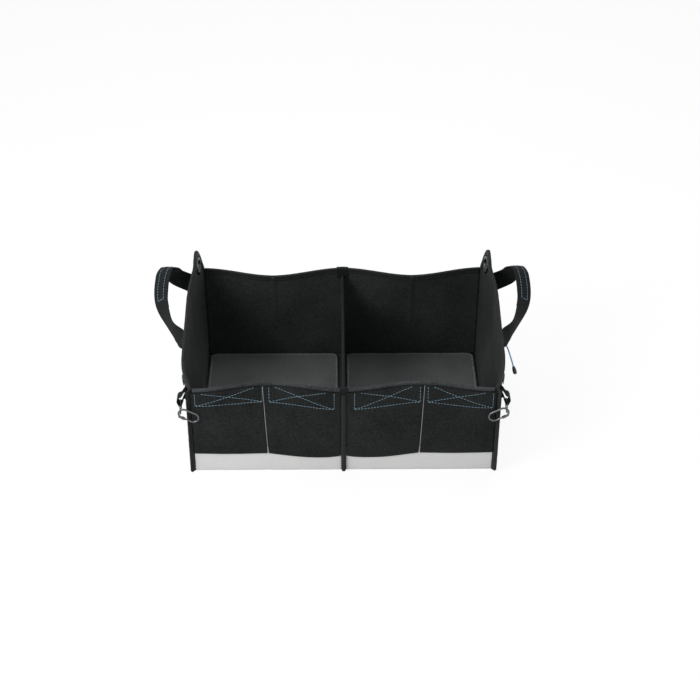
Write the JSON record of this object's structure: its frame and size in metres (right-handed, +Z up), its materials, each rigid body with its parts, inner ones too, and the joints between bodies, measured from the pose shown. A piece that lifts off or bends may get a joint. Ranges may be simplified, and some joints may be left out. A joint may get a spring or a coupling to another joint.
{
  "type": "car storage box",
  "caption": "Open fabric boot organiser: a low box with a stiffened base, a hanging divider, front pockets, raised rear corners with eyelets, webbing handles and snap hooks.",
  "frame": {"origin": "centre of the underside, on the surface the box stands on", "axes": "+X to the right along the long side, -Y is the low front with the pockets, +Z up"},
  "size_m": [0.8052, 0.4433, 0.2943],
  "materials": {
    "tarpaulin": "coated woven, semi-matt",
    "lining_cloth": "coated woven, matt",
    "pack_cloth": "woven pack cloth, matt",
    "board_cloth": "non-woven cloth, matt",
    "edge_tape": "ribbed binding tape",
    "strap_webbing": "woven webbing",
    "seam_cord": "sewn thread",
    "hook_and_loop": "hook and loop",
    "hook_steel": "satin plated",
    "eyelet_steel": "satin plated",
    "zip_metal": "satin",
    "pull_cord": "braided cord",
    "pull_plastic": "moulded, matt"
  },
  "bodies": {
    "box": {"base_tray": "tarpaulin", "front_wall": "lining_cloth", "back_wall": "lining_cloth", "left_side": "lining_cloth", "right_side": "lining_cloth", "divider": "lining_cloth", "front_pocket_1": "pack_cloth", "front_pocket_2": "pack_cloth", "front_pocket_3": "pack_cloth", "front_pocket_4": "pack_cloth", "side_pocket": "pack_cloth", "left_base_board": "board_cloth", "right_base_board": "board_cloth", "front_rim": "edge_tape", "back_rim": "edge_tape", "left_rim": "edge_tape", "right_rim": "edge_tape", "front_centre_tape": "edge_tape", "divider_tape": "edge_tape", "left_board_tape": "edge_tape", "right_board_tape": "edge_tape", "front_left_corner_tape": "edge_tape", "front_right_corner_tape": "edge_tape", "back_left_corner_tape": "edge_tape", "back_right_corner_tape": "edge_tape", "divider_back_tab": "strap_webbing", "divider_front_tab": "strap_webbing", "zip_tape": "strap_webbing", "left_handle": "strap_webbing", "left_grip": "strap_webbing", "left_hook_strap": "strap_webbing", "right_handle": "strap_webbing", "right_grip": "strap_webbing", "right_hook_strap": "strap_webbing", "left_pocket_seam": "seam_cord", "right_pocket_seam": "seam_cord", "pocket_closure_1": "hook_and_loop", "pocket_closure_2": "hook_and_loop", "pocket_closure_3": "hook_and_loop", "pocket_closure_4": "hook_and_loop", "left_strap_ring": "hook_steel", "right_strap_ring": "hook_steel", "left_rear_eyelet": "eyelet_steel", "left_rear_washer": "eyelet_steel", "left_front_eyelet": "eyelet_steel", "left_front_washer": "eyelet_steel", "right_rear_eyelet": "eyelet_steel", "right_rear_washer": "eyelet_steel", "right_front_eyelet": "eyelet_steel", "right_front_washer": "eyelet_steel"},
    "left_hook": {"left_snap_hook": "hook_steel", "left_gate_pin": "hook_steel"},
    "left_gate": {"left_hook_gate": "hook_steel"},
    "right_hook": {"right_snap_hook": "hook_steel", "right_gate_pin": "hook_steel"},
    "right_gate": {"right_hook_gate": "hook_steel"},
    "slider": {"zip_slider": "zip_metal", "pull_cord": "pull_cord", "pull_end": "pull_plastic"}
  },
  "joints": [
    {"name": "left_hook_swing", "type": "hinge", "parent": "box", "child": "left_hook", "pos_m": [-0.3283, -0.2192, 0.16], "axis": [0, 1, 0], "range_deg": [0, 106]},
    {"name": "left_gate_open", "type": "hinge", "parent": "left_hook", "child": "left_gate", "pos_m": [-0.32617, -0.2192, 0.14697], "axis": [0, -1, 0], "range_deg": [0, 25], "stiffness_Nm_per_rad": 0.02, "springref_deg": -5.73},
    {"name": "right_hook_swing", "type": "hinge", "parent": "box", "child": "right_hook", "pos_m": [0.3283, -0.2192, 0.16], "axis": [0, -1, 0], "range_deg": [0, 106]},
    {"name": "right_gate_open", "type": "hinge", "parent": "right_hook", "child": "right_gate", "pos_m": [0.32617, -0.2192, 0.14697], "axis": [0, 1, 0], "range_deg": [0, 25], "stiffness_Nm_per_rad": 0.02, "springref_deg": -5.73},
    {"name": "zip_slide", "type": "slide", "parent": "box", "child": "slider", "axis": [0, 1, 0], "range_m": [0, 0.108]}
  ]
}
